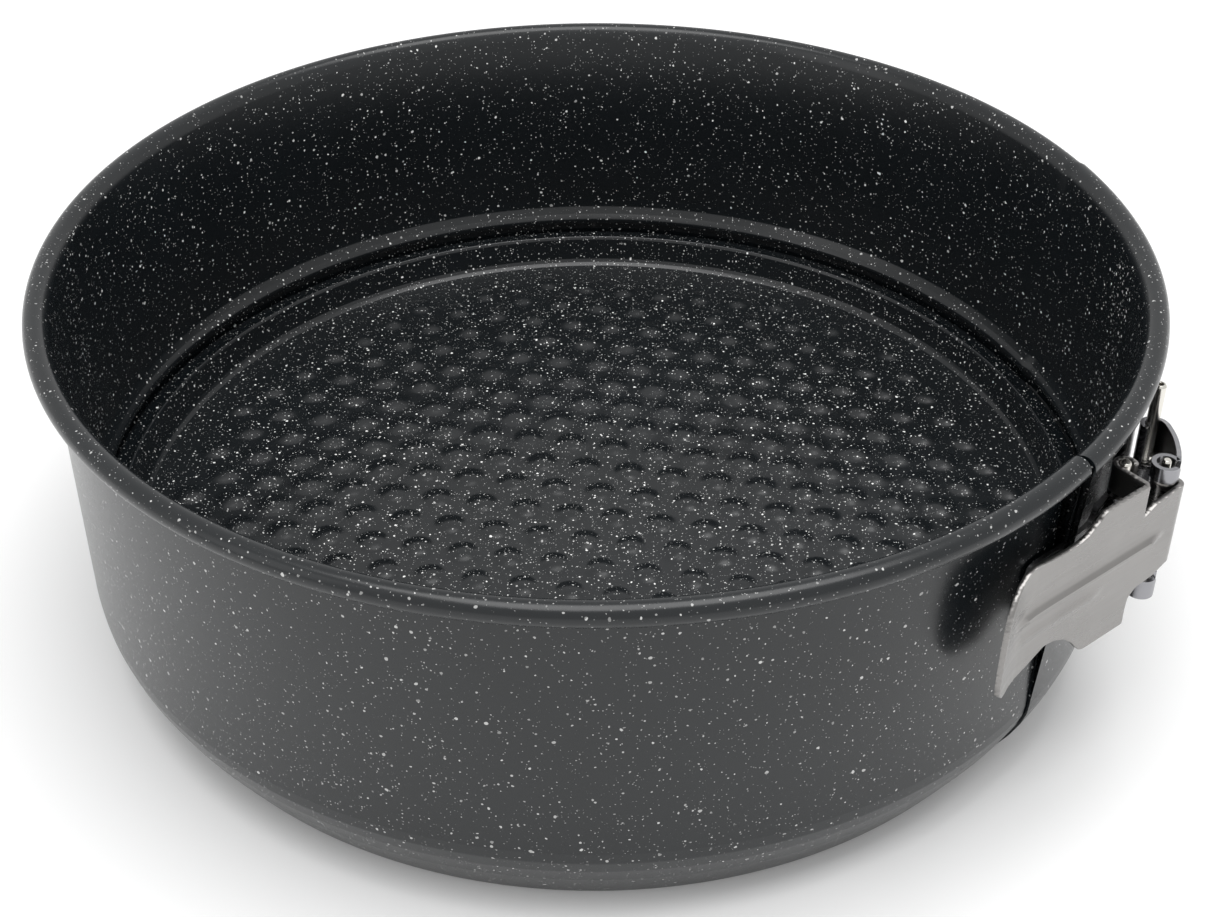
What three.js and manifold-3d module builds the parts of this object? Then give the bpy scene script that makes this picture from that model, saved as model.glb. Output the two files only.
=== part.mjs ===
// Springform pan, 200 mm inside diameter, built as a split ring, a loose base
// plate and a lever clasp. Millimetres, +Z up, origin on the pan axis at the
// height of the ring's lower edge. The clasp is at the +X, -Y side of the ring.
import * as THREE from 'three';
import { mergeVertices } from 'three/addons/utils/BufferGeometryUtils.js';
import Module from 'manifold-3d';

const wasm = await Module();
wasm.setup();

// ---------------------------------------------------------------- dimensions
const SEG = 72;               // facets round the ring
const WALL_R = 100.0;         // outside radius of the ring wall
const WALL_T = 0.8;           // sheet with its coating
const RING_H = 72.1;          // top of the rolled rim
const BEAD_R = 2.1;           // rolled rim, outside radius of the curl
const BEAD_C = 101.9;         // radius of the curl's centre line
const SLEEVE = 0.45;          // step where one strip end sleeves over the other
const SEAM_AZ = -41;          // where the outer strip end stops, degrees from +X
const STEP_AZ = 18.8;         // where the sleeve step is
const BACK_AZ = 139;          // where the closed strip is divided, opposite the seam
const SEAM_GAP = 0.17;        // half gap at each division, degrees
const TAIL_END = -29;         // end of the inner tail
const TAIL_R = 98.55;         // inside radius of the tail
const TAIL_T = 0.7;
const TAIL_Z0 = 27.5, TAIL_Z1 = 66;

const FLOOR_Z = 14.2;         // cooking surface of the base
const FLOOR_T = 0.8;
const FLANGE_R = 98.2;        // base edge, held in the ring's groove

const CLASP_AZ = -51.5;       // the lever plate is square to this direction
const LEVER_N = 105.3;        // outer face of the closed lever, from the pan axis
const LEVER_T = 0.9;
const CLASP_Z = 48;           // mid height of the clasp
const PIN_A = [-33.5, 98.7];  // lever pivot, in (s, n)
const PIN_E = [-40.4, 101.9]; // link to lever pivot
const PIN_B_R = 104.4, PIN_B_AZ = -21; // link to band pivot
const PIN_R = 1.0;            // pivot pins
const PIN_B_SIZE = 1.15;
const PIN_E_R = 0.8;
const KNUCKLE_IN = 1.3, KNUCKLE_OUT = 2.1;
const EYE_IN = 1.7, EYE_OUT = 2.5;     // eyes of the link, with clearance on pin E

// ------------------------------------------------------------------- helpers
const rad = (d) => d * Math.PI / 180;

function solid(source) {
  let g = source.index ? source.clone() : source.clone();
  g.deleteAttribute('normal');
  g.deleteAttribute('uv');
  g = mergeVertices(g, 1e-4);
  const pos = g.attributes.position.array;
  const raw = g.index.array;
  const tri = [];
  let vol = 0;
  for (let i = 0; i < raw.length; i += 3) {
    const [a, b, c] = [raw[i], raw[i + 1], raw[i + 2]];
    if (a === b || b === c || a === c) continue;
    tri.push(a, b, c);
    const A = new THREE.Vector3().fromArray(pos, 3 * a);
    const B = new THREE.Vector3().fromArray(pos, 3 * b);
    const C = new THREE.Vector3().fromArray(pos, 3 * c);
    vol += A.dot(B.cross(C));
  }
  if (vol < 0) for (let i = 0; i < tri.length; i += 3) [tri[i + 1], tri[i + 2]] = [tri[i + 2], tri[i + 1]];
  return new wasm.Manifold(new wasm.Mesh({
    numProp: 3, vertProperties: new Float32Array(pos), triVerts: new Uint32Array(tri),
  }));
}

function geometryOf(m) {
  const mesh = m.getMesh();
  const g = new THREE.BufferGeometry();
  const n = mesh.numProp;
  const p = new Float32Array(mesh.vertProperties.length / n * 3);
  for (let i = 0; i < p.length / 3; i++) for (let k = 0; k < 3; k++) p[3 * i + k] = mesh.vertProperties[n * i + k];
  g.setAttribute('position', new THREE.BufferAttribute(p, 3));
  g.setIndex(new THREE.BufferAttribute(new Uint32Array(mesh.triVerts), 1));
  g.computeVertexNormals();
  return g;
}

// closed (r, z) profile turned about +Z
function turned(profile, closeOnItself = true) {
  const pts = profile.map(([r, z]) => new THREE.Vector2(r, z));
  if (closeOnItself) pts.push(pts[0].clone());
  const g = new THREE.LatheGeometry(pts, SEG);
  g.rotateX(Math.PI / 2);
  return solid(g);
}

// flat outline pushed up from z0 to z1
function prism(points, z0, z1, holes = []) {
  const s = new THREE.Shape(points.map(([x, y]) => new THREE.Vector2(x, y)));
  for (const h of holes) s.holes.push(new THREE.Path(h.map(([x, y]) => new THREE.Vector2(x, y))));
  const g = new THREE.ExtrudeGeometry(s, { depth: z1 - z0, bevelEnabled: false, curveSegments: 16 });
  g.translate(0, 0, z0);
  return solid(g);
}

// outline in (s, z), pushed from n0 to n1
function slab(points, n0, n1) {
  const s = new THREE.Shape(points.map(([x, z]) => new THREE.Vector2(x, z)));
  const g = new THREE.ExtrudeGeometry(s, { depth: n1 - n0, bevelEnabled: false });
  g.rotateX(Math.PI / 2);        // (x, y, z) -> (x, -z, y)
  g.translate(0, n1, 0);
  return solid(g);
}

function sector(az0, az1) {
  const pts = [[0, 0]];
  const n = Math.max(2, Math.ceil((az1 - az0) / 20));
  for (let i = 0; i <= n; i++) {
    const a = rad(az0 + (az1 - az0) * i / n);
    pts.push([150 * Math.cos(a), 150 * Math.sin(a)]);
  }
  return prism(pts, -5, 90);
}

const circle = ([cx, cy], r, n = 20, a0 = 0) => Array.from({ length: n }, (_, i) => {
  const a = a0 + 2 * Math.PI * i / n;
  return [cx + r * Math.cos(a), cy + r * Math.sin(a)];
});

const tube = (c, rIn, rOut, z0, z1) => prism(circle(c, rOut), z0, z1, [circle(c, rIn)]);

// constant-thickness strip along a plan polyline
function strip(path, t, z0, z1) {
  const left = [], right = [];
  for (let i = 0; i < path.length; i++) {
    const p = path[i], a = path[Math.max(0, i - 1)], b = path[Math.min(path.length - 1, i + 1)];
    let dx = b[0] - a[0], dy = b[1] - a[1];
    const l = Math.hypot(dx, dy); dx /= l; dy /= l;
    left.push([p[0] - dy * t / 2, p[1] + dx * t / 2]);
    right.push([p[0] + dy * t / 2, p[1] - dx * t / 2]);
  }
  return prism([...left, ...right.reverse()], z0, z1);
}

// the clasp is drawn in (s, n): s along the closed lever towards its tip,
// n outwards from the pan axis. polar() gives a point of the ring in (s, n).
const TURN = CLASP_AZ - 90;
const polar = (r, az) => {
  const b = rad(az - TURN);
  return [r * Math.cos(b), r * Math.sin(b)];
};
const PIN_B = polar(PIN_B_R, PIN_B_AZ);

// ---------------------------------------------------------------------- ring
function ringProfile(dr) {
  const p = [
    [91.7, 0], [92.5, 0], [94.9, 4], [97.2, 8], [99.0, 12], [99.8, 14.8], [WALL_R, 17.2],
    [WALL_R, 69.3],
  ];
  for (let i = 0; i <= 10; i++) {
    const a = rad(200 + 300 * i / 10);
    p.push([BEAD_C + BEAD_R * Math.cos(a), RING_H - BEAD_R + BEAD_R * Math.sin(a)]);
  }
  p.push(
    [WALL_R - WALL_T, 69.6], [WALL_R - WALL_T, 28.0], [98.7, 26.0], [97.7, 24.6], [97.0, 23.4],
    [97.4, 22.4], [98.8, 21.9], [98.8, 19.2], [98.4, 18.8], [95.7, 18.8], [95.5, 18.0],
    [96.6, 17.2], [98.5, 15.2], [97.9, 12], [96.1, 8], [93.8, 4], [91.7, 0.6],
  );
  return p.map(([r, z]) => [r + dr, z]);
}
const ringMain = turned(ringProfile(0));
const ringSleeve = turned(ringProfile(SLEEVE));

const bandRear = ringMain.intersect(sector(STEP_AZ - 0.3, BACK_AZ - SEAM_GAP))
  .add(ringSleeve.intersect(sector(SEAM_AZ + SEAM_GAP, STEP_AZ)));

const tail = (r0, r1) => turned([[r0, TAIL_Z0], [r1, TAIL_Z0], [r1, TAIL_Z1], [r0, TAIL_Z1]]);
const bandFront = ringMain.intersect(sector(BACK_AZ - 360 + SEAM_GAP, SEAM_AZ - SEAM_GAP))
  .add(tail(TAIL_R, TAIL_R + TAIL_T).intersect(sector(SEAM_AZ - 3, TAIL_END)))
  .add(tail(TAIL_R, WALL_R - 0.2).intersect(sector(SEAM_AZ - 3, SEAM_AZ - 1.2)));

// ---------------------------------------------------------------------- base
const baseProfile = [
  [0, FLOOR_Z - FLOOR_T], [91.5, FLOOR_Z - FLOOR_T], [92.7, 13.6], [93.5, 14.4], [94.8, 18.7],
  [95.3, 19.1], [FLANGE_R, 19.1], [FLANGE_R, 20.0], [95.4, 20.1], [94.8, 20.6], [94.1, 20.7],
  [93.7, 20.2], [92.4, 15.2], [91.9, 14.6], [91.2, FLOOR_Z], [0, FLOOR_Z],
];
const basePlate = turned(baseProfile, false);

// ------------------------------------------------------------- front bracket
// welded to the wall ahead of the seam, reaching over it to carry the lever
const frontPlate = strip([
  polar(100.85, -46.5), polar(100.85, -45), polar(100.95, -43.6), polar(101.55, -41.5), polar(102.0, -38),
  polar(102.4, -35), polar(102.55, -33),
], 1.0, CLASP_Z - 7, CLASP_Z + 6.4);
const frontBarrel = tube(PIN_A, KNUCKLE_IN, KNUCKLE_OUT, CLASP_Z - 8.9, CLASP_Z + 8.9);
const borePinA = prism(circle(PIN_A, KNUCKLE_IN), 20, 80);
const frontBracket = frontPlate.subtract(borePinA).add(frontBarrel);

// -------------------------------------------------------------- rear bracket
// plate welded to the wall, with one tongue at mid height rolled round pin B
const BZ0 = 29.6, BZ1 = 66.4;
const KNUCKLE_Z0 = 38.7, KNUCKLE_Z1 = 49.8;
const rearPlatePath = [];
for (let az = -27; az <= -6; az += 3) rearPlatePath.push(polar(101.35, az));
const tonguePath = [polar(101.4, -25.6), polar(101.75, -24.3), polar(102.4, -22.7), polar(102.72, -21.2)];
const borePinB = prism(circle(PIN_B, KNUCKLE_IN), 20, 80);
const rearBracket = strip(rearPlatePath, 0.9, BZ0, BZ1)
  .add(strip(tonguePath, 0.8, KNUCKLE_Z0, KNUCKLE_Z1).subtract(borePinB))
  .add(tube(PIN_B, KNUCKLE_IN, KNUCKLE_OUT, KNUCKLE_Z0, KNUCKLE_Z1));

// --------------------------------------------------------------------- lever
const LI = LEVER_N - LEVER_T;
const J0 = [CLASP_Z - 14.5, CLASP_Z - 9.8], J1 = [CLASP_Z + 9.8, CLASP_Z + 15];
const leverFace = [
  [-31.6, 63.0], [-20.7, 63.0], [-19.4, 61.7], [-17.0, 60.0], [-14.8, 59.4], [-12.3, 59.2], [-7.0, 59.3],
  [-7.0, 39.1], [-9.9, 40.5], [-12.4, 40.2], [-15.3, 38.9], [-17.6, 36.8], [-19.6, 34.3], [-20.9, 33.5],
  [-31.6, 33.5], [-31.6, 38.4], [-31.9, 39.6], [-33.4, 40.6], [-37.8, 41.0], [-41.8, 42.4], [-41.8, 58.6],
  [-34.5, 57.8], [-31.9, 56.5], [-31.6, 57.2],
];
let lever = slab(leverFace, LI, LEVER_N);
// the finger tab curves outwards, away from the wall
const tabPath = [[-7.4, LEVER_N - LEVER_T / 2], [-5, 104.92], [-2.6, 105.15], [-0.6, 105.68], [1.2, 106.33], [3.1, 107.18], [4.6, 107.9]];
const tabOutline = [
  [-7.6, 59.3], [-4.8, 60.0], [-2.4, 59.8], [-0.3, 58.6], [1.6, 57.0], [3.1, 55.2], [3.9, 52.4], [4.3, 49.2],
  [4.45, 45.3], [4.35, 41.4], [3.6, 38.8], [2.2, 37.2], [0.8, 36.9], [-0.6, 37.3], [-3.0, 37.6], [-5.4, 38.2], [-7.6, 39.3],
];
lever = lever.add(strip(tabPath, LEVER_T, 30, 66).intersect(slab(tabOutline, 100, 114)));
// two stiffening ribs pressed outwards
const ribBar = (pts, r) => {
  const c = new THREE.CatmullRomCurve3(pts.map((p) => new THREE.Vector3(...p)));
  const sec = new THREE.Shape(circle([0, 0], r, 8).map(([x, y]) => new THREE.Vector2(x, y)));
  return solid(new THREE.ExtrudeGeometry(sec, { steps: 10, extrudePath: c, bevelEnabled: false }));
};
lever = lever.add(ribBar([[-7.2, LEVER_N - 0.35, 50.2], [-22, LEVER_N - 0.15, 50.0], [-37, LEVER_N - 0.35, 50.0]], 0.7)
  .intersect(slab([[-60, 30], [10, 30], [10, 66], [-60, 66]], LI + 0.1, LEVER_N + 2)));
lever = lever.add(ribBar([[-7.2, LEVER_N - 0.45, 45.4], [-15, LEVER_N - 0.3, 45.4], [-23, LEVER_N - 0.45, 45.4]], 0.65)
  .intersect(slab([[-60, 30], [10, 30], [10, 66], [-60, 66]], LI + 0.1, LEVER_N + 2)));
// upper and lower tabs turned in and hooked round pin A
const hook = [[-31.6, LEVER_N - 0.5], [-31.75, 103.4], [PIN_A[0] + 1.7, 101.5], [PIN_A[0] + 1.7, PIN_A[1]]];
for (let i = 1; i <= 11; i++) {
  const a = rad(-20 * i);
  hook.push([PIN_A[0] + 1.7 * Math.cos(a), PIN_A[1] + 1.7 * Math.sin(a)]);
}
for (const [z0, z1] of [J0, J1]) lever = lever.add(strip(hook, 0.8, z0, z1));
// rear edge turned in and rolled round pin E
const eZ0 = 42.4, eZ1 = 58.4;
lever = lever.add(prism([[-42.5, PIN_E[1]], [-41.6, PIN_E[1]], [-41.6, LEVER_N], [-42.0, LEVER_N], [-42.5, LEVER_N - 0.5]], eZ0, eZ1))
  .add(tube(PIN_E, 1.15, 2.1, eZ0, eZ1))
  .subtract(prism(circle(PIN_E, 1.15), eZ0 - 1, eZ1 + 1));

// ---------------------------------------------------------------------- link
// a curved strap, hooked round pin B from behind and eyed round pin E. It is
// notched round the bracket's knuckle and open where the lever's edge passes.
const toSN = (x, y) => {
  const a = rad(CLASP_AZ);
  return [x * Math.sin(a) - y * Math.cos(a), x * Math.cos(a) + y * Math.sin(a)];
};
const HOOK_B = 1.7;                    // centre line of the strap round pin B
const strapPath = [];
for (let i = 0; i <= 12; i++) {
  const a = rad(235 - (235 - 69) * i / 12 - TURN);
  strapPath.push([PIN_B[0] + HOOK_B * Math.cos(a), PIN_B[1] + HOOK_B * Math.sin(a)]);
}
const strapCurve = new THREE.CatmullRomCurve3([
  [98.5, -35.98], [99.05, -36.3], [99.42, -37.1], [99.6, -39.0], [99.5, -42.4], [99.1, -45.9], [98.3, -50.1], [97.6, -52.6], [97.0, -54.9],
].map(([x, y]) => { const q = toSN(x, y); return new THREE.Vector3(q[0], q[1], 0); }));
strapPath.push(...strapCurve.getPoints(20).map((v) => [v.x, v.y]));
const LZ0 = 34.0, LZ1 = 61.9, EAR_LOW = 37.9, EAR_HIGH = 59.1;
const NOTCH_R = 3.15, NOTCH_Z0 = 38.3, NOTCH_Z1 = 50.2; // round the knuckle
const WINDOW_R = 4.3;                  // round pin E, for the lever's rear edge
const eyeBore = prism(circle(PIN_E, EYE_IN), 20, 80);
let link = strip(strapPath, 0.8, LZ0, LZ1)
  .subtract(slab([[-60, 57.7], [-54.6, 57.7], [-53.6, 58.6], [-51.5, 59.4], [-49, 60.1], [-45.7, 61.0], [-42.6, LZ1], [-42.6, 70], [-60, 70]], 80, 125))
  .subtract(slab([[-52.4, 57.7], [-48, 57.7], [-48, 70], [-52.4, 70]], 80, 92))
  .subtract(prism(circle(PIN_B, NOTCH_R, 28), NOTCH_Z0, NOTCH_Z1))
  .subtract(prism(circle(PIN_E, WINDOW_R, 28), EAR_LOW, EAR_HIGH));
for (const [z0, z1] of [[LZ0, EAR_LOW], [EAR_HIGH, LZ1]]) link = link.add(tube(PIN_E, EYE_IN, EYE_OUT, z0, z1));
link = link.subtract(eyeBore);

// ---------------------------------------------------------------------- pins
const pin = ([x, y], r, z0, z1, head = 0) => {
  const h = head > 0
    ? [[0, z0 - 0.6], [r * 0.8, z0 - 0.6], [r, z0 - 0.3], [r, z1], [head, z1], [head, z1 + 0.4], [head * 0.6, z1 + 0.8], [0, z1 + 0.8]]
    : [[0, z0], [r * 0.8, z0], [r, z0 + 0.3], [r, z1 - 0.3], [r * 0.8, z1], [0, z1]];
  const pts = h.map(([a, b]) => new THREE.Vector2(a, b));
  const g = new THREE.LatheGeometry(pts, 16);
  g.rotateX(Math.PI / 2);
  g.translate(x, y, 0);
  return solid(g);
};
const leverPin = pin(PIN_A, PIN_R, 33.2, 63.3);
const bandPin = pin(PIN_B, PIN_B_SIZE, 31.5, 66.0);
const linkPin = pin(PIN_E, PIN_E_R, 33.2, 62.4);

// ----------------------------------------------------------------- materials
const coat = new THREE.MeshStandardMaterial({ color: 0x34383a, roughness: 0.42, metalness: 0.1 });
const coatInside = new THREE.MeshStandardMaterial({ color: 0x1c2124, roughness: 0.5, metalness: 0.1 });
const steel = new THREE.MeshStandardMaterial({ color: 0xa39d97, roughness: 0.34, metalness: 1.0 });
const dark = new THREE.MeshStandardMaterial({ color: 0x4a4a4c, roughness: 0.28, metalness: 1.0 });
const bright = new THREE.MeshStandardMaterial({ color: 0xb9b5ae, roughness: 0.22, metalness: 1.0 });

// --------------------------------------------------------------------- scene
const pan = new THREE.Group();
const clasp = new THREE.Group();
clasp.rotation.z = rad(TURN);
pan.add(clasp);
function put(parent, name, m, material) {
  const mesh = new THREE.Mesh(geometryOf(m), material);
  mesh.name = name;
  parent.add(mesh);
}
put(pan, 'band_rear', bandRear, coat);
put(pan, 'band_front', bandFront, coat);
put(pan, 'base_plate', basePlate, coatInside);
put(clasp, 'front_bracket', frontBracket, dark);
put(clasp, 'rear_bracket', rearBracket, dark);
put(clasp, 'lever', lever, steel);
put(clasp, 'link', link, dark);
put(clasp, 'lever_pin', leverPin, bright);
put(clasp, 'link_band_pin', bandPin, bright);
put(clasp, 'link_lever_pin', linkPin, bright);

export default pan;
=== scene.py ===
"""Springform pan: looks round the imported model, in metres."""
import bpy
import math
import numpy as np
from mathutils import Matrix, Vector
from mathutils.geometry import delaunay_2d_cdt


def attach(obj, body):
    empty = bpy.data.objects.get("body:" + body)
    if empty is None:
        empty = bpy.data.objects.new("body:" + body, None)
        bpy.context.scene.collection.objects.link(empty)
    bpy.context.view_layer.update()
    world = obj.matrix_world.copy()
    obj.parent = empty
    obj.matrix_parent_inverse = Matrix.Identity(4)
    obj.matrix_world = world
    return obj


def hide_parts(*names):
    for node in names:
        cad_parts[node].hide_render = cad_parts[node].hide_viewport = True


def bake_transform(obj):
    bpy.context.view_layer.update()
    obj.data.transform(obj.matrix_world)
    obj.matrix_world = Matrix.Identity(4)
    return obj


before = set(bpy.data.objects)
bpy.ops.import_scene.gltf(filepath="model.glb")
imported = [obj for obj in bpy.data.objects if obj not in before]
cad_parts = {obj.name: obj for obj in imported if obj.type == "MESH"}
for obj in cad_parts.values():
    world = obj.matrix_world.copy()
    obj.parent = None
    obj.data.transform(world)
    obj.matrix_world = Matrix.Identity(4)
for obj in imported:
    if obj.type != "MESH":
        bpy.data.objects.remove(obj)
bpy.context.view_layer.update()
MM = 0.001

# ------------------------------------------------------------ dimensions, mm
WALL_R, WALL_T, RING_H = 100.0, 0.8, 72.1
BEAD_R, BEAD_C = 2.1, 101.9
SLEEVE, SEAM_AZ, STEP_AZ, BACK_AZ = 0.45, -41.0, 18.8, 139.0
SEAM_GAP = 0.17
TAIL_END, TAIL_R, TAIL_T = -29.0, 98.55, 0.7
FLOOR_Z, FLANGE_R = 14.2, 98.2
CLASP_AZ, LEVER_N, LEVER_T, CLASP_Z = -51.5, 105.3, 0.9, 48.0
PIN_A, PIN_E = (-33.5, 98.7), (-40.4, 101.9)
TURN = math.radians(CLASP_AZ - 90)


def rad(d):
    return d * math.pi / 180


def polar(r, az):
    b = rad(az) - TURN
    return (r * math.cos(b), r * math.sin(b))


PIN_B = polar(104.4, -21)


def to_world(s, n, z):
    """A clasp point (s along the closed lever, n outwards, z) in the row frame, in metres."""
    c, d = math.cos(TURN), math.sin(TURN)
    return ((c * s - d * n) * MM, (d * s + c * n) * MM, z * MM)


# ----------------------------------------------------------------- mesh tools
def mesh_object(name, verts, faces, smooth_angle=40):
    me = bpy.data.meshes.new(name)
    me.from_pydata([tuple(v) for v in verts], [], [tuple(f) for f in faces])
    me.validate()
    me.update()
    import bmesh
    bm = bmesh.new()
    bm.from_mesh(me)
    bmesh.ops.remove_doubles(bm, verts=bm.verts, dist=1e-7)
    bmesh.ops.recalc_face_normals(bm, faces=bm.faces)
    lim = math.radians(smooth_angle)
    for f in bm.faces:
        f.smooth = True
    for e in bm.edges:
        if len(e.link_faces) == 2 and e.calc_face_angle(0) > lim:
            e.smooth = False
    bm.to_mesh(me)
    bm.free()
    ob = bpy.data.objects.new(name, me)
    bpy.context.scene.collection.objects.link(ob)
    return ob


def fillet(points, radii, steps=4, closed=True):
    """Polyline with each corner rounded by its radius."""
    pts = [np.array(p, float) for p in points]
    n = len(pts)
    out = []
    for i, p in enumerate(pts):
        r = radii[i] if hasattr(radii, "__len__") else radii
        if r <= 0 or (not closed and i in (0, n - 1)):
            out.append(p)
            continue
        a, b = pts[i - 1] - p, pts[(i + 1) % n] - p
        la, lb = np.linalg.norm(a), np.linalg.norm(b)
        a, b = a / la, b / lb
        ang = math.acos(max(-1, min(1, float(a @ b))))
        if ang > math.pi - 0.02:
            out.append(p)
            continue
        d = min(r / math.tan(ang / 2), 0.48 * la, 0.48 * lb)
        p0, p1 = p + a * d, p + b * d
        for k in range(steps + 1):
            t = k / steps
            out.append((1 - t) ** 2 * p0 + 2 * t * (1 - t) * p + t * t * p1)
    return out


def resample(path, step):
    """Polyline points no further than step apart, corners kept."""
    out = [np.array(path[0], float)]
    for a, b in zip(path[:-1], path[1:]):
        a, b = np.array(a, float), np.array(b, float)
        k = max(1, int(math.ceil(np.linalg.norm(b - a) / step)))
        for i in range(1, k + 1):
            out.append(a + (b - a) * i / k)
    return out


def bevel(ob, width, segments=2, angle=50):
    m = ob.modifiers.new("edge", "BEVEL")
    m.width = width * MM
    m.segments = segments
    m.limit_method = "ANGLE"
    m.angle_limit = math.radians(angle)
    m.harden_normals = True
    return ob


def lathe(name, profile, segs, dr=None, az0=None, az1=None, smooth_angle=40):
    """Closed (r, z) profile turned about Z, in mm. Whole ring, or az0 to az1 with end caps."""
    prof = np.array(profile, float)
    k = len(prof)
    whole = az0 is None
    n = segs if whole else segs + 1
    az = np.radians(np.linspace(0, 360, segs, endpoint=False) if whole else np.linspace(az0, az1, n))
    off = np.zeros(n) if dr is None else np.array([dr(math.degrees(a)) for a in az])
    r = prof[None, :, 0] + off[:, None]
    V = np.stack([r * np.cos(az)[:, None], r * np.sin(az)[:, None], np.broadcast_to(prof[None, :, 1], r.shape)], -1).reshape(-1, 3) * MM
    F = []
    for i in range(segs if whole else n - 1):
        j = (i + 1) % n
        for q in range(k):
            w = (q + 1) % k
            F.append((i * k + q, j * k + q, j * k + w, i * k + w))
    if not whole:
        F.append(tuple(range(k)))
        F.append(tuple((n - 1) * k + q for q in reversed(range(k))))
    return mesh_object(name, V, F, smooth_angle)


class Path:
    """A plan curve (s, n) by arc length, with its left-hand normal."""

    def __init__(self, pts, u0=0.0):
        self.p = np.array(pts, float)
        d = np.linalg.norm(np.diff(self.p, axis=0), axis=1)
        self.u = u0 + np.concatenate([[0], np.cumsum(d)])

    def at(self, u):
        x = np.interp(u, self.u, self.p[:, 0])
        y = np.interp(u, self.u, self.p[:, 1])
        e = 0.12
        ua, ub = max(self.u[0], u - e), min(self.u[-1], u + e)
        tx = np.interp(ub, self.u, self.p[:, 0]) - np.interp(ua, self.u, self.p[:, 0])
        ty = np.interp(ub, self.u, self.p[:, 1]) - np.interp(ua, self.u, self.p[:, 1])
        l = math.hypot(tx, ty)
        return x, y, -ty / l, tx / l


def arc(c, r, a0, a1, n=None):
    n = n or max(3, int(abs(a1 - a0) / 9))
    return [(c[0] + r * math.cos(rad(a0 + (a1 - a0) * i / n)), c[1] + r * math.sin(rad(a0 + (a1 - a0) * i / n))) for i in range(n + 1)]


def sheet_part(name, outline, thick, point, grid=0.8, holes=(), edge_step=0.6, bump=None, edge=0.16):
    """Bent sheet metal. outline and holes are loops in the flat (u, z); point(u, z) gives its middle surface
    and unit normal in (s, n). bump(u, z) raises the middle surface along the normal."""
    loops = [resample(list(l) + [l[0]], edge_step)[:-1] for l in [outline, *holes]]
    verts, edges = [], []
    for l in loops:
        b = len(verts)
        verts += [Vector((float(p[0]), float(p[1]))) for p in l]
        edges += [(b + i, b + (i + 1) % len(l)) for i in range(len(l))]
    nb = len(verts)
    o = np.array(loops[0])
    lo, hi = o.min(0), o.max(0)
    P = np.array([[v.x, v.y] for v in verts])

    def inside(x, y, loop):
        c = False
        a = np.array(loop)
        b = np.roll(a, -1, 0)
        m = (a[:, 1] > y) != (b[:, 1] > y)
        if not m.any():
            return False
        xs = (b[m, 0] - a[m, 0]) * (y - a[m, 1]) / (b[m, 1] - a[m, 1]) + a[m, 0]
        return bool((xs > x).sum() % 2)

    for x in np.arange(lo[0] + grid / 2, hi[0], grid):
        for y in np.arange(lo[1] + grid / 2, hi[1], grid):
            if np.min((P[:nb, 0] - x) ** 2 + (P[:nb, 1] - y) ** 2) < (0.45 * grid) ** 2:
                continue
            if inside(x, y, loops[0]) and not any(inside(x, y, h) for h in loops[1:]):
                verts.append(Vector((float(x), float(y))))
    r = delaunay_2d_cdt(verts, edges, [], 2 if not holes else 2, 1e-6)
    V2, F2 = r[0], r[2]
    keep = []
    for f in F2:
        c = sum((V2[i] for i in f), Vector((0, 0))) / len(f)
        if inside(c.x, c.y, loops[0]) and not any(inside(c.x, c.y, h) for h in loops[1:]):
            keep.append(tuple(f))
    top, bot = [], []
    for v in V2:
        x, y, nx, ny, z = (*point(v.x, v.y), v.y)
        h = bump(v.x, v.y) if bump else 0.0
        top.append(to_world(x + nx * (thick / 2 + h), y + ny * (thick / 2 + h), z))
        bot.append(to_world(x - nx * (thick / 2 - h), y - ny * (thick / 2 - h), z))
    n = len(V2)
    count = {}
    for f in keep:
        for a, b in zip(f, f[1:] + f[:1]):
            count[(a, b)] = 1
    faces = [f for f in keep] + [tuple(i + n for i in reversed(f)) for f in keep]
    for (a, b) in count:
        if (b, a) not in count:
            faces.append((b, a, a + n, b + n))
    ob = mesh_object(name, top + bot, faces, 42)
    if edge:
        bevel(ob, edge)
    return ob


def join(name, obs):
    """One object from several closed pieces of one part, modifiers applied."""
    dg = bpy.context.evaluated_depsgraph_get()
    V, F, S = [], [], []
    import bmesh
    out = bmesh.new()
    for ob in obs:
        dg.update()
        ev = ob.evaluated_get(dg)
        me = bpy.data.meshes.new_from_object(ev)
        me.transform(ob.matrix_world)
        out.from_mesh(me)
        bpy.data.meshes.remove(me)
    me = bpy.data.meshes.new(name)
    for e in out.edges:
        if len(e.link_faces) == 2:
            e.smooth = e.calc_face_angle(0) < math.radians(42)
    for f in out.faces:
        f.smooth = True
    out.to_mesh(me)
    out.free()
    for ob in obs:
        m = ob.data
        bpy.data.objects.remove(ob)
        bpy.data.meshes.remove(m)
    ob = bpy.data.objects.new(name, me)
    bpy.context.scene.collection.objects.link(ob)
    return ob


# ------------------------------------------------------------------ materials
def new_material(name):
    m = bpy.data.materials.new(name)
    m.use_nodes = True
    nt = m.node_tree
    for n in list(nt.nodes):
        nt.nodes.remove(n)
    out = nt.nodes.new("ShaderNodeOutputMaterial")
    bs = nt.nodes.new("ShaderNodeBsdfPrincipled")
    nt.links.new(bs.outputs[0], out.inputs[0])
    return m, nt, bs


def math_node(nt, op, a, b=None, c=None, clamp=False):
    n = nt.nodes.new("ShaderNodeMath")
    n.operation = op
    n.use_clamp = clamp
    for i, v in enumerate((a, b, c)):
        if v is None:
            continue
        if isinstance(v, (int, float)):
            n.inputs[i].default_value = v
        else:
            nt.links.new(v, n.inputs[i])
    return n.outputs[0]


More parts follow.
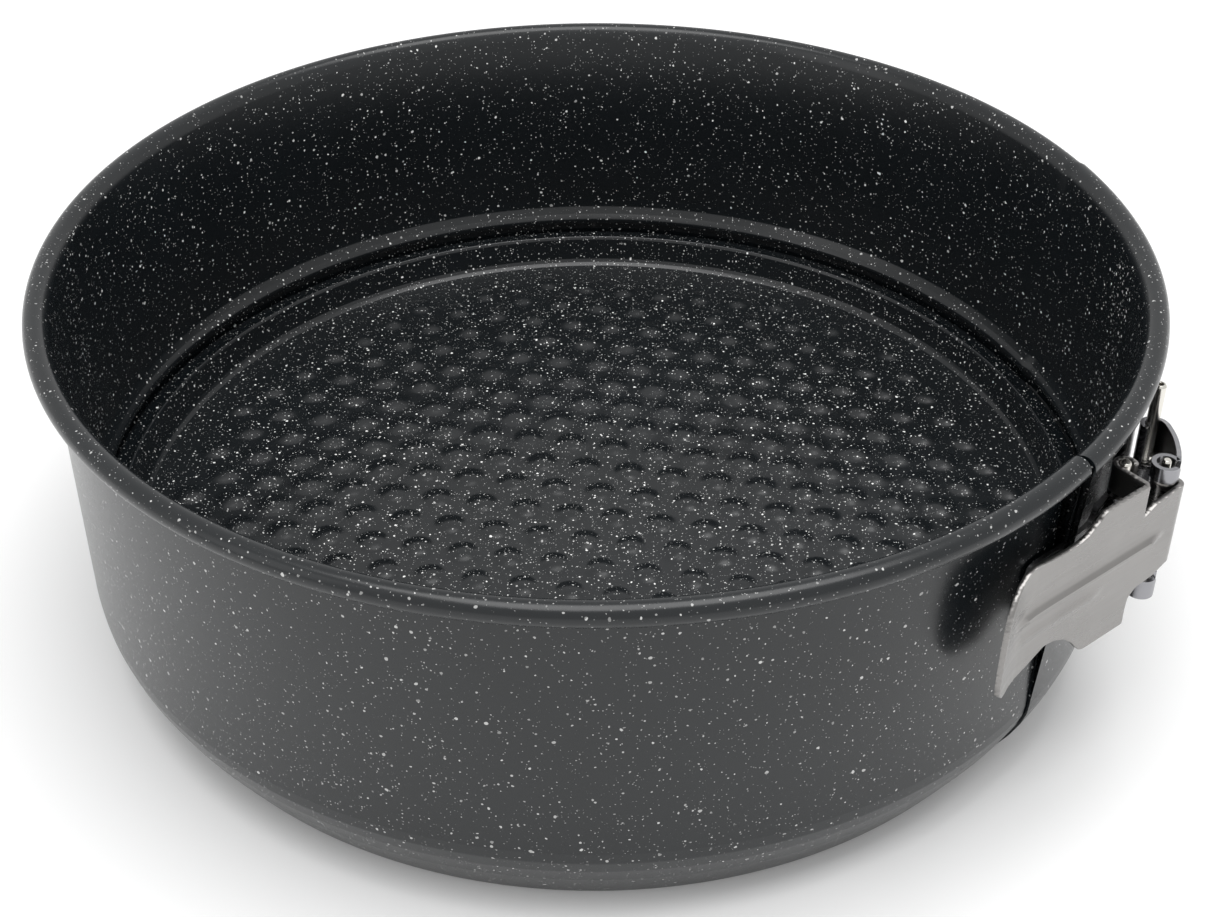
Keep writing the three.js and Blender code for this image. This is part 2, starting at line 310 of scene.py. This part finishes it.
def speck_layer(nt, vec, scale, size, keep, warp=None):
    """Mask of irregular specks: one to a Voronoi cell, of random size, with a share of the cells left empty."""
    v = nt.nodes.new("ShaderNodeTexVoronoi")
    v.feature = "F1"
    v.inputs["Scale"].default_value = scale
    nt.links.new(warp or vec, v.inputs["Vector"])
    sep = nt.nodes.new("ShaderNodeSeparateColor")
    nt.links.new(v.outputs["Color"], sep.inputs[0])
    r = math_node(nt, "POWER", sep.outputs[0], 1.6)
    lim = math_node(nt, "MULTIPLY_ADD", r, size * 0.8, size * 0.2)
    d = math_node(nt, "SUBTRACT", lim, v.outputs["Distance"])
    m = math_node(nt, "MULTIPLY", d, 1.0 / (size * 0.16), clamp=True)
    k = math_node(nt, "LESS_THAN", sep.outputs[1], keep)
    tone = math_node(nt, "MULTIPLY_ADD", sep.outputs[2], 0.65, 0.35)
    return math_node(nt, "MULTIPLY", m, math_node(nt, "MULTIPLY", k, tone))


def coating(name, base, rough, big, mid, fine, speck=0.62, bump=0.12, outside=1.0):
    """Dark non-stick coating with pale specks. big, mid and fine are (cells a metre, size in cells, share kept).
    outside scales the specks on the outer face of the ring."""
    m, nt, bs = new_material(name)
    tc = nt.nodes.new("ShaderNodeTexCoord")
    vec = tc.outputs["Object"]
    wn = nt.nodes.new("ShaderNodeTexNoise")
    wn.inputs["Scale"].default_value = 1400
    wn.inputs["Detail"].default_value = 2
    nt.links.new(vec, wn.inputs["Vector"])
    mix = nt.nodes.new("ShaderNodeVectorMath")
    mix.operation = "MULTIPLY_ADD"
    nt.links.new(wn.outputs["Color"], mix.inputs[0])
    mix.inputs[1].default_value = (0.0005, 0.0005, 0.0005)
    nt.links.new(vec, mix.inputs[2])
    warp = mix.outputs[0]
    layers = [
        speck_layer(nt, vec, big[0], big[1], big[2], warp),
        speck_layer(nt, vec, mid[0], mid[1], mid[2], warp),
        speck_layer(nt, vec, fine[0], fine[1], fine[2], warp),
    ]
    s = math_node(nt, "MAXIMUM", math_node(nt, "MAXIMUM", layers[0], layers[1]), math_node(nt, "MULTIPLY", layers[2], 0.7))
    n = nt.nodes.new("ShaderNodeTexNoise")
    n.inputs["Scale"].default_value = 26
    n.inputs["Detail"].default_value = 4
    nt.links.new(vec, n.inputs["Vector"])
    ramp = nt.nodes.new("ShaderNodeMapRange")
    nt.links.new(n.outputs["Fac"], ramp.inputs["Value"])
    ramp.inputs["From Min"].default_value, ramp.inputs["From Max"].default_value = 0.3, 0.7
    ramp.inputs["To Min"].default_value, ramp.inputs["To Max"].default_value = 0.82, 1.14
    tint = nt.nodes.new("ShaderNodeVectorMath")
    tint.operation = "SCALE"
    tint.inputs[0].default_value = base
    nt.links.new(ramp.outputs[0], tint.inputs["Scale"])
    amount = s
    if outside < 1.0:
        flat_vec = nt.nodes.new("ShaderNodeVectorMath")
        flat_vec.operation = "MULTIPLY"
        nt.links.new(vec, flat_vec.inputs[0])
        flat_vec.inputs[1].default_value = (1, 1, 0)
        radius = nt.nodes.new("ShaderNodeVectorMath")
        radius.operation = "LENGTH"
        nt.links.new(flat_vec.outputs[0], radius.inputs[0])
        xyz = nt.nodes.new("ShaderNodeSeparateXYZ")
        nt.links.new(vec, xyz.inputs[0])
        outer = math_node(nt, "MAXIMUM", math_node(nt, "GREATER_THAN", radius.outputs["Value"], 0.0998),
                          math_node(nt, "LESS_THAN", xyz.outputs["Z"], 0.0165))
        amount = math_node(nt, "MULTIPLY", s, math_node(nt, "MULTIPLY_ADD", outer, outside - 1.0, 1.0))
    col = nt.nodes.new("ShaderNodeMix")
    col.data_type = "RGBA"
    nt.links.new(amount, col.inputs["Factor"])
    nt.links.new(tint.outputs[0], col.inputs["A"])
    col.inputs["B"].default_value = (speck, speck, speck * 0.98, 1)
    nt.links.new(col.outputs["Result"], bs.inputs["Base Color"])
    fn = nt.nodes.new("ShaderNodeTexNoise")
    fn.inputs["Scale"].default_value = 900
    fn.inputs["Detail"].default_value = 3
    nt.links.new(vec, fn.inputs["Vector"])
    rr = nt.nodes.new("ShaderNodeMapRange")
    nt.links.new(fn.outputs["Fac"], rr.inputs["Value"])
    rr.inputs["To Min"].default_value, rr.inputs["To Max"].default_value = rough - 0.04, rough + 0.05
    nt.links.new(rr.outputs[0], bs.inputs["Roughness"])
    h = math_node(nt, "MULTIPLY_ADD", s, 0.8, math_node(nt, "MULTIPLY", fn.outputs["Fac"], 0.35))
    bp = nt.nodes.new("ShaderNodeBump")
    bp.inputs["Strength"].default_value = bump
    bp.inputs["Distance"].default_value = 0.00012
    nt.links.new(h, bp.inputs["Height"])
    nt.links.new(bp.outputs[0], bs.inputs["Normal"])
    return m


def steel(name, color, rough, grain=(60, 60, 1400), bump=0.05, spread=0.08):
    """Steel sheet with a fine rolled grain, and slow variation in tone."""
    m, nt, bs = new_material(name)
    bs.inputs["Metallic"].default_value = 1.0
    tc = nt.nodes.new("ShaderNodeTexCoord")
    mp = nt.nodes.new("ShaderNodeMapping")
    mp.inputs["Rotation"].default_value = (0, 0, -TURN)
    mp.inputs["Scale"].default_value = grain
    nt.links.new(tc.outputs["Object"], mp.inputs["Vector"])
    n = nt.nodes.new("ShaderNodeTexNoise")
    n.inputs["Scale"].default_value = 1.0
    n.inputs["Detail"].default_value = 4
    nt.links.new(mp.outputs[0], n.inputs["Vector"])
    slow = nt.nodes.new("ShaderNodeTexNoise")
    slow.inputs["Scale"].default_value = 90
    slow.inputs["Detail"].default_value = 3
    nt.links.new(tc.outputs["Object"], slow.inputs["Vector"])
    rr = nt.nodes.new("ShaderNodeMapRange")
    nt.links.new(math_node(nt, "MULTIPLY_ADD", n.outputs["Fac"], 0.6, math_node(nt, "MULTIPLY", slow.outputs["Fac"], 0.4)), rr.inputs["Value"])
    rr.inputs["From Min"].default_value, rr.inputs["From Max"].default_value = 0.3, 0.7
    rr.inputs["To Min"].default_value, rr.inputs["To Max"].default_value = rough - spread, rough + spread
    nt.links.new(rr.outputs[0], bs.inputs["Roughness"])
    sc = nt.nodes.new("ShaderNodeMapRange")
    nt.links.new(slow.outputs["Fac"], sc.inputs["Value"])
    sc.inputs["From Min"].default_value, sc.inputs["From Max"].default_value = 0.3, 0.7
    sc.inputs["To Min"].default_value, sc.inputs["To Max"].default_value = 0.93, 1.05
    tint = nt.nodes.new("ShaderNodeVectorMath")
    tint.operation = "SCALE"
    tint.inputs[0].default_value = color
    nt.links.new(sc.outputs[0], tint.inputs["Scale"])
    nt.links.new(tint.outputs[0], bs.inputs["Base Color"])
    bp = nt.nodes.new("ShaderNodeBump")
    bp.inputs["Strength"].default_value = bump
    bp.inputs["Distance"].default_value = 0.00005
    nt.links.new(n.outputs["Fac"], bp.inputs["Height"])
    nt.links.new(bp.outputs[0], bs.inputs["Normal"])
    return m


M_RING = coating("coating_ring", (0.0048, 0.0066, 0.0080), 0.25, (480, 0.18, 0.95), (900, 0.215, 1.0), (1700, 0.23, 0.9), speck=0.95, outside=0.6)
M_BASE = coating("coating_base", (0.0048, 0.0066, 0.0080), 0.25, (680, 0.2, 1.1), (1200, 0.25, 1.1), (2100, 0.26, 0.8), speck=1.0)
M_LEVER = steel("steel_lever", (0.27, 0.262, 0.255), 0.3)
M_DARK = steel("steel_dark", (0.20, 0.20, 0.205), 0.26, bump=0.04)
M_LINK = steel("steel_link", (0.30, 0.30, 0.315), 0.22, bump=0.03, spread=0.06)
M_PIN = steel("steel_pin", (0.72, 0.70, 0.65), 0.2, grain=(1200, 1200, 40), bump=0.03, spread=0.05)


def finish_piece(ob, mat, body, nodes):
    ob.data.materials.clear()
    ob.data.materials.append(mat)
    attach(ob, body)
    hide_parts(*nodes)
    return ob


# ------------------------------------------------------------------ the strip
bead = [(BEAD_C + BEAD_R * math.cos(rad(a)), RING_H - BEAD_R + BEAD_R * math.sin(rad(a))) for a in np.linspace(200, 500, 34)]
outer = fillet([(92.5, 0), (94.9, 4), (97.2, 8), (99.0, 12), (99.8, 14.8), (WALL_R, 17.2), (WALL_R, 40), (WALL_R, 69.25)],
               [0.3, 6, 6, 5, 3, 4, 0, 0], 4, closed=False)
inner = fillet([(WALL_R - WALL_T, 69.6), (WALL_R - WALL_T, 28.4), (98.9, 26.4), (97.95, 24.9), (97.0, 23.8), (97.2, 22.6),
                (98.8, 21.9), (98.8, 19.2), (98.4, 18.8), (95.7, 18.8), (95.4, 18.1), (96.6, 17.2), (98.5, 15.2),
                (97.9, 12), (96.1, 8), (93.8, 4), (91.9, 0.9)],
               [0, 3.0, 1.5, 1.5, 0.9, 0.6, 0.3, 0.3, 0.2, 0.4, 0.4, 1, 2, 4, 6, 6, 0.5], 4, closed=False)
ring_profile = [(91.75, 0.25), (92.0, 0.0)] + outer + bead + inner
ring_profile = [tuple(map(float, p)) for p in ring_profile]


def sleeve(az):
    # one end of the strip is stepped outwards where it sleeves over the other
    az = (az + 180) % 360 - 180
    if not (SEAM_AZ - 0.01 <= az <= STEP_AZ + 2):
        return 0.0
    t = min(1.0, max(0.0, (STEP_AZ + 0.25 - az) / 0.5))
    return SLEEVE * t * t * (3 - 2 * t)


strip_a = lathe("ring_strip", ring_profile, 540, sleeve, SEAM_AZ + SEAM_GAP, SEAM_AZ + 360 - SEAM_GAP)
strip_a.data.materials.append(M_RING)
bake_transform(strip_a)
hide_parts("band_rear", "band_front")

tail_profile = fillet([(TAIL_R, 27.5), (TAIL_R + TAIL_T, 27.5), (TAIL_R + TAIL_T, 66), (TAIL_R, 66)], 0.25, 3)
tail = lathe("strip_tail", tail_profile, 24, None, SEAM_AZ - 3, TAIL_END)
finish_piece(tail, M_RING, "front_band", ["band_front"])

# --------------------------------------------------------------- base plate
PITCH, LAT_AZ, DOME_R, DOME_H = 9.15, -10.8, 3.1, 0.75
LAT0 = np.array([6.8, -17.3])


def domes(x, y):
    """Height in mm of the round domes pressed up in the floor, on a triangular lattice."""
    a = np.array([math.cos(rad(LAT_AZ)), math.sin(rad(LAT_AZ))]) * PITCH
    b = np.array([math.cos(rad(LAT_AZ + 60)), math.sin(rad(LAT_AZ + 60))]) * PITCH
    M = np.linalg.inv(np.array([a, b]).T)
    i0 = np.floor(np.stack([M[0, 0] * (x - LAT0[0]) + M[0, 1] * (y - LAT0[1]), M[1, 0] * (x - LAT0[0]) + M[1, 1] * (y - LAT0[1])]))
    best = np.full(x.shape, 1e9)
    keep = np.zeros(x.shape)
    for di in (0, 1):
        for dj in (0, 1):
            i, j = i0[0] + di, i0[1] + dj
            cx = LAT0[0] + i * a[0] + j * b[0]
            cy = LAT0[1] + i * a[1] + j * b[1]
            d = np.hypot(x - cx, y - cy)
            near = d < best
            best = np.where(near, d, best)
            keep = np.where(near, np.hypot(cx, cy) < 85.5, keep)
    t = np.clip(best / DOME_R, 0, 1.15)
    cap = 1 - t * t
    return keep * DOME_H * 0.5 * (cap + np.sqrt(cap * cap + 0.012)) * np.clip((1.15 - t) / 0.15, 0, 1)


def build_base():
    R0 = 90.6
    n = 228
    g = np.linspace(-1, 1, n + 1)
    A, B = np.meshgrid(g, g, indexing="ij")
    r = np.where(np.abs(A) > np.abs(B), A, B)
    with np.errstate(divide="ignore", invalid="ignore"):
        th = np.where(np.abs(A) > np.abs(B), np.pi / 4 * B / np.where(A == 0, 1, A), np.pi / 2 - np.pi / 4 * A / np.where(B == 0, 1, B))
    X, Y = R0 * r * np.cos(th), R0 * r * np.sin(th)
    X[(A == 0) & (B == 0)] = 0
    Y[(A == 0) & (B == 0)] = 0
    up = domes(X, Y)
    N = (n + 1) * (n + 1)
    idx = np.arange(N).reshape(n + 1, n + 1)
    top = np.stack([X, Y, FLOOR_Z + up], -1).reshape(-1, 3)
    bot = np.stack([X, Y, FLOOR_Z - 0.8 + up], -1).reshape(-1, 3)
    q = np.stack([idx[:-1, :-1], idx[1:, :-1], idx[1:, 1:], idx[:-1, 1:]], -1).reshape(-1, 4)
    faces = [tuple(f) for f in q] + [tuple(f[::-1] + N) for f in q]
    loop = list(idx[0, :-1]) + list(idx[:-1, -1]) + list(idx[-1, :0:-1]) + list(idx[:0:-1, 0])
    m = len(loop)
    ang = np.arctan2(top[loop, 1], top[loop, 0])
    edge = fillet([(R0, FLOOR_Z), (91.35, FLOOR_Z + 0.02), (92.05, 14.85), (92.5, 15.5), (93.75, 20.1), (94.15, 20.75), (94.75, 20.65),
                   (95.4, 20.05), (97.9, 20.0), (FLANGE_R, 19.75), (FLANGE_R, 19.35), (97.9, 19.1), (95.4, 19.1), (94.85, 18.7),
                   (93.55, 14.5), (92.7, 13.6), (91.5, 13.4), (R0, FLOOR_Z - 0.8)],
                  [0, 0.35, 0.4, 0.8, 0.5, 0.35, 0.4, 0.5, 0.2, 0.2, 0.2, 0.2, 0.5, 0.5, 0.8, 0.6, 0.6, 0], 4, closed=False)
    edge = np.array(edge)[1:-1]
    k = len(edge)
    ringv = np.stack([edge[None, :, 0] * np.cos(ang)[:, None], edge[None, :, 0] * np.sin(ang)[:, None],
                      np.broadcast_to(edge[None, :, 1], (m, k))], -1).reshape(-1, 3)
    base = 2 * N
    for i in range(m):
        j = (i + 1) % m
        faces.append((loop[i], loop[j], base + j * k, base + i * k))
        for w in range(k - 1):
            faces.append((base + i * k + w, base + j * k + w, base + j * k + w + 1, base + i * k + w + 1))
        faces.append((base + i * k + k - 1, base + j * k + k - 1, loop[j] + N, loop[i] + N))
    V = np.concatenate([top, bot, ringv]) * MM
    return mesh_object("base_disc", V, faces, 60)


base_disc = build_base()
finish_piece(base_disc, M_BASE, "base", ["base_plate"])

# ----------------------------------------------------------------- the lever
LN = LEVER_N - LEVER_T / 2
tab = Path([(-41.05, LN), (-31, LN), (-20, LN), (-9, LN), (-7.2, LN + 0.02), (-5, 104.92), (-2.6, 105.17), (-0.6, 105.68), (1.2, 106.33), (3.1, 107.18), (4.6, 107.9), (6.0, 108.6)], -41.05)
rear_path = Path(arc((-41.05, LN - 1.0), 1.0, 90, 180, 8) + [(-42.05, 102.6)] + arc(PIN_E, 1.65, 180, 470, 34))


def lever_point(u, z):
    if u >= -41.05:
        return tab.at(u)
    x, y, nx, ny = rear_path.at(-41.05 - u)
    return x, y, -nx, -ny


def ridge(u, z, u0, u1, z0, w, h):
    t = max(0.0, min(1.0, (u - u0) / 4)) * max(0.0, min(1.0, (u1 - u) / 4))
    t = t * t * (3 - 2 * t)
    return h * t * math.exp(-((z - z0) / w) ** 2)


def lever_bump(u, z):
    return ridge(u, z, -38.5, 0.5, 50.0, 0.75, 0.9) + ridge(u, z, -24.0, 0.0, 45.4, 0.75, 0.45)


rear_len = rear_path.u[-1]
# the flat runs along the bent sheet, so past the bend it is a little longer than s
def flat(s):
    return float(np.interp(s, tab.p[:, 0], tab.u))


lever_outline = fillet([
    (-31.5, 63.0), (-20.7, 63.0), (-19.4, 61.7), (-17.0, 60.0), (-14.8, 59.4), (-12.3, 59.2), (-8.0, 59.4), (-4.8, 60.0), (-2.2, 59.8),
    (flat(-0.3), 58.7), (flat(1.6), 57.1), (flat(3.1), 55.2), (flat(3.9), 52.4), (flat(4.3), 49.2), (flat(4.45), 45.3), (flat(4.35), 41.4),
    (flat(3.6), 38.8), (flat(2.2), 37.2), (flat(0.8), 36.8), (flat(-0.6), 37.2), (-3.0, 37.6), (-5.4, 38.2), (-7.8, 39.4), (-9.9, 40.5),
    (-12.4, 40.2), (-15.3, 38.9), (-17.6, 36.8), (-19.9, 34.0), (-21.2, 33.5), (-31.5, 33.5), (-31.4, 36.6), (-31.6, 39.2), (-33.4, 40.6),
    (-37.8, 41.0), (-41.05, 42.3), (-41.05 - rear_len, 42.5), (-41.05 - rear_len, 58.4), (-41.05, 58.5), (-34.5, 57.8), (-31.9, 56.5), (-31.5, 57.4)],
    [0.3, 1.5, 1.5, 2.0, 2, 3, 4, 3, 2, 2, 2, 2, 2.5, 2.5, 2.5, 2.5, 1.5, 1.2, 1, 1.5, 3, 3, 2, 2, 2, 2.5, 2.5, 1.5, 1, 0.5, 2, 1.5, 1.5, 2, 1, 0.2, 0.2, 1, 2, 0.15, 0.15], 4)
lever_face = sheet_part("lever_face", lever_outline, LEVER_T, lever_point, grid=0.55, edge_step=0.45, bump=lever_bump, edge=0.2)

hook_path = Path(arc((-31.0, LN - 0.8), 0.8, 90, 180, 6) + [(-31.8, 101.0)] + arc(PIN_A, 1.7, 0, -222, 26))


def hook_point(u, z):
    x, y, nx, ny = hook_path.at(u)
    return x, y, -nx, -ny


hooks = []
for k, (z0, z1) in enumerate(((33.5, 38.2), (57.8, 63.0))):
    L = hook_path.u[-1]
    hooks.append(sheet_part(f"hook{k}", fillet([(0, z0), (L, z0), (L, z1), (0, z1)], [0.1, 0.3, 0.3, 0.1], 3), 0.8, hook_point, grid=0.7, edge_step=0.35, edge=0.12))
lever = join("clasp_lever", [lever_face] + hooks)
finish_piece(lever, M_LEVER, "lever", ["lever"])

# ------------------------------------------------------------------ the link
def to_sn(x, y):
    a = rad(CLASP_AZ)
    return (x * math.sin(a) - y * math.cos(a), x * math.cos(a) + y * math.sin(a))


def catmull(pts, n=8):
    P = [np.array(p, float) for p in pts]
    P = [2 * P[0] - P[1]] + P + [2 * P[-1] - P[-2]]
    out = []
    for i in range(1, len(P) - 2):
        for k in range(n):
            t = k / n
            out.append(0.5 * ((2 * P[i]) + (-P[i - 1] + P[i + 1]) * t + (2 * P[i - 1] - 5 * P[i] + 4 * P[i + 1] - P[i + 2]) * t * t
                              + (-P[i - 1] + 3 * P[i] - 3 * P[i + 1] + P[i + 2]) * t ** 3))
    out.append(P[-2])
    return out


def sn_angle(world):
    return world - math.degrees(TURN)


HOOK_B, NOTCH_R, WINDOW_R = 1.7, 3.15, 4.3
hook_b = arc(PIN_B, HOOK_B, sn_angle(235), sn_angle(69), 26)
mid = catmull([to_sn(*p) for p in ((98.08, -35.83), (98.5, -35.98), (99.05, -36.3), (99.42, -37.1), (99.6, -39.0), (99.5, -42.4), (99.1, -45.9),
                                   (98.3, -50.1), (97.6, -52.6), (97.13, -54.4))])[1:]
e_in = mid[-1]
a_e = math.degrees(math.atan2(e_in[1] - PIN_E[1], e_in[0] - PIN_E[0]))
roll_e = arc(PIN_E, 2.1, a_e + 6, a_e + 318, 34)
link_path = Path([tuple(p) for p in hook_b] + [tuple(p) for p in mid] + roll_e)
uB = Path(hook_b).u[-1]
uM = Path([tuple(p) for p in hook_b] + [tuple(p) for p in mid]).u[-1]
uEnd = link_path.u[-1]


def u_where(c, r, lo, hi):
    """Path length, between lo and hi, at which the strap is r away from c."""
    us = np.linspace(lo, hi, 400)
    d = [abs(math.hypot(*(np.array(link_path.at(u)[:2]) - np.array(c))) - r) for u in us]
    return float(us[int(np.argmin(d))])


uN = u_where(PIN_B, NOTCH_R, uB, uB + 6)
uW = u_where(PIN_E, WINDOW_R, uM - 8, uM)
LZ0, LZ1, EL, EH = 34.0, 61.9, 37.9, 59.1
link_outline = fillet([(0, LZ0), (uEnd, LZ0), (uEnd, EL), (uW, EL), (uW, EH), (uEnd, EH), (uEnd, LZ1), (uM - 1.5, LZ1), (uM - 4.9, 61.0), (uM - 9.2, 60.1),
                       (uM - 12.6, 59.3), (uM - 15.8, 58.6), (uB + 0.9, 57.7), (0, 57.7), (0, 50.2), (uN, 50.2), (uN, 38.3), (0, 38.3)],
                      [0.5, 0.6, 0.4, 0.8, 0.8, 0.4, 0.6, 2, 2, 2, 2, 1, 1, 0.5, 0.3, 1.0, 1.0, 0.3], 4)
link = sheet_part("clasp_link", link_outline, 0.8, lambda u, z: link_path.at(u), grid=0.8, edge_step=0.4, edge=0.14)
finish_piece(link, M_LINK, "link", ["link"])

# --------------------------------------------------------------- the brackets
front_path = Path([polar(100.85, -46.5), polar(100.85, -45), polar(100.95, -43.6), polar(101.55, -41.5), polar(102.0, -38),
                   polar(102.3, -35.5)] + arc(PIN_A, 1.7, -72, 232, 34))
uf = front_path.u[-1]
ur = Path([polar(100.85, -46.5), polar(100.85, -45), polar(100.95, -43.6), polar(101.55, -41.5), polar(102.0, -38), polar(102.3, -35.5)]).u[-1]
front_bracket = sheet_part("bracket_front", fillet([(0, 41), (ur - 2, 41), (ur - 0.6, 39.2), (uf, 39.2), (uf, 56.8), (ur - 0.6, 56.8), (ur - 2, 54.4), (0, 54.4)],
                                                   [1.5, 1, 0.6, 0.3, 0.3, 0.6, 1, 1.5], 4), 0.85, lambda u, z: front_path.at(u), grid=0.9, edge_step=0.4, edge=0.16)
finish_piece(front_bracket, M_DARK, "front_band", ["front_bracket"])

BZ0, BZ1, KZ0, KZ1 = 29.6, 66.4, 38.7, 49.8
plate_path = Path([polar(101.35, a) for a in np.linspace(-27, -6, 43)])
plate = sheet_part("rb_plate", fillet([(0, BZ0), (plate_path.u[-1], BZ0), (plate_path.u[-1], BZ1), (0, BZ1)], [1.2, 3, 3, 1.2], 5), 0.85,
                   lambda u, z: plate_path.at(u), grid=1.2, edge_step=0.5, edge=0.16)
tongue_plan = catmull([polar(101.4, -25.6), polar(101.75, -24.3), polar(102.35, -22.7)], 6) + arc(PIN_B, 1.7, sn_angle(168), sn_angle(-140), 36)
tongue_path = Path([tuple(p) for p in tongue_plan])
L = tongue_path.u[-1]
knuckle = sheet_part("rb_knuckle", fillet([(0, KZ0), (L, KZ0), (L, KZ1), (0, KZ1)], 0.3, 3), 0.8, lambda u, z: tongue_path.at(u), grid=0.8, edge_step=0.35, edge=0.14)
rear_bracket = join("bracket_rear", [plate, knuckle])
finish_piece(rear_bracket, M_DARK, "rear_band", ["rear_bracket"])


# ---------------------------------------------------------------------- pins
def pin(name, c, r, z0, z1, body, node, bore=0.0):
    """Round pin with chamfered ends. bore is the radius of a blind hole in each end."""
    ch = 0.35
    top = [(r, z1 - ch), (r - ch * 0.7, z1)] + ([(bore, z1), (bore, z1 - 1.6)] if bore else [])
    low = [(r - ch * 0.7, z0), (r, z0 + ch)]
    low = ([(bore, z0 + 1.6), (bore, z0)] if bore else []) + low
    prof = fillet([(0.0001, low[0][1])] + low + top + [(0.0001, top[-1][1])], [0] + [0.12] * (len(low) + len(top)) + [0], 3, closed=False)
    n = 40
    w = to_world(c[0], c[1], 0)
    V, F = [], []
    for i in range(n):
        a = 2 * math.pi * i / n
        for (pr, pz) in prof:
            V.append((w[0] + pr * math.cos(a) * MM, w[1] + pr * math.sin(a) * MM, pz * MM))
    k = len(prof)
    for i in range(n):
        j = (i + 1) % n
        for q in range(k - 1):
            F.append((i * k + q, j * k + q, j * k + q + 1, i * k + q + 1))
    F.append(tuple(i * k for i in reversed(range(n))))
    F.append(tuple(i * k + k - 1 for i in range(n)))
    ob = mesh_object(name, V, F, 50)
    return finish_piece(ob, M_PIN, body, [node])


pin("pin_lever", PIN_A, 1.0, 33.2, 63.3, "front_band", "lever_pin")
pin("pin_band", PIN_B, 1.15, 31.5, 66.0, "rear_band", "link_band_pin", bore=0.5)
pin("pin_link", PIN_E, 0.8, 33.2, 62.4, "lever", "link_lever_pin")

# --------------------------------------------------------------- the studio
floor_me = bpy.data.meshes.new("studio_floor")
S = 3.0
floor_me.from_pydata([(-S, -S, -0.0002), (S, -S, -0.0002), (S, S, -0.0002), (-S, S, -0.0002)], [], [(0, 1, 2, 3)])
floor = bpy.data.objects.new("studio_floor", floor_me)
bpy.context.scene.collection.objects.link(floor)
mf, ntf, bf = new_material("floor_paper")
bf.inputs["Base Color"].default_value = (0.93, 0.93, 0.93, 1)
bf.inputs["Roughness"].default_value = 0.8
floor_me.materials.append(mf)

world = bpy.data.worlds.new("studio")
bpy.context.scene.world = world
world.use_nodes = True
bg = world.node_tree.nodes["Background"]
bg.inputs["Color"].default_value = (1, 1, 1, 1)
bg.inputs["Strength"].default_value = 0.85


def area(name, loc, target, size, power, color=(1, 1, 1)):
    l = bpy.data.lights.new(name, "AREA")
    l.shape = "RECTANGLE"
    l.size, l.size_y = size
    l.energy = power
    l.color = color
    o = bpy.data.objects.new(name, l)
    o.location = loc
    o.rotation_euler = (Vector(target) - Vector(loc)).to_track_quat("-Z", "Y").to_euler()
    bpy.context.scene.collection.objects.link(o)
    return o


area("top_soft", (0.05, -0.1, 1.0), (0, 0, 0.03), (0.9, 0.7), 7)
area("left_soft", (-0.9, -0.5, 0.6), (0, 0, 0.04), (0.5, 0.8), 0.8)

cam_data = bpy.data.cameras.new("camera")
cam = bpy.data.objects.new("camera", cam_data)
bpy.context.scene.collection.objects.link(cam)
rows = np.array([[0.9999766817280368, -0.006749532334361499, 0.0010391407277873627],
                 [0.003152683526975482, 0.5912496662521408, 0.8064824193640621],
                 [-0.006057770775085113, -0.8064603375058189, 0.5912571584710303]])
mw = np.eye(4)
mw[:3, :3] = rows.T
mw[:3, 3] = (0.0, -0.3074657185940935, 0.24837149957722748)
cam.matrix_world = Matrix(mw.tolist())
cam_data.sensor_fit = "HORIZONTAL"
cam_data.sensor_width = 36.0
cam_data.lens = 56.0207
cam_data.clip_start = 0.01
bpy.context.scene.camera = cam
bpy.context.scene.view_settings.view_transform = "Standard"
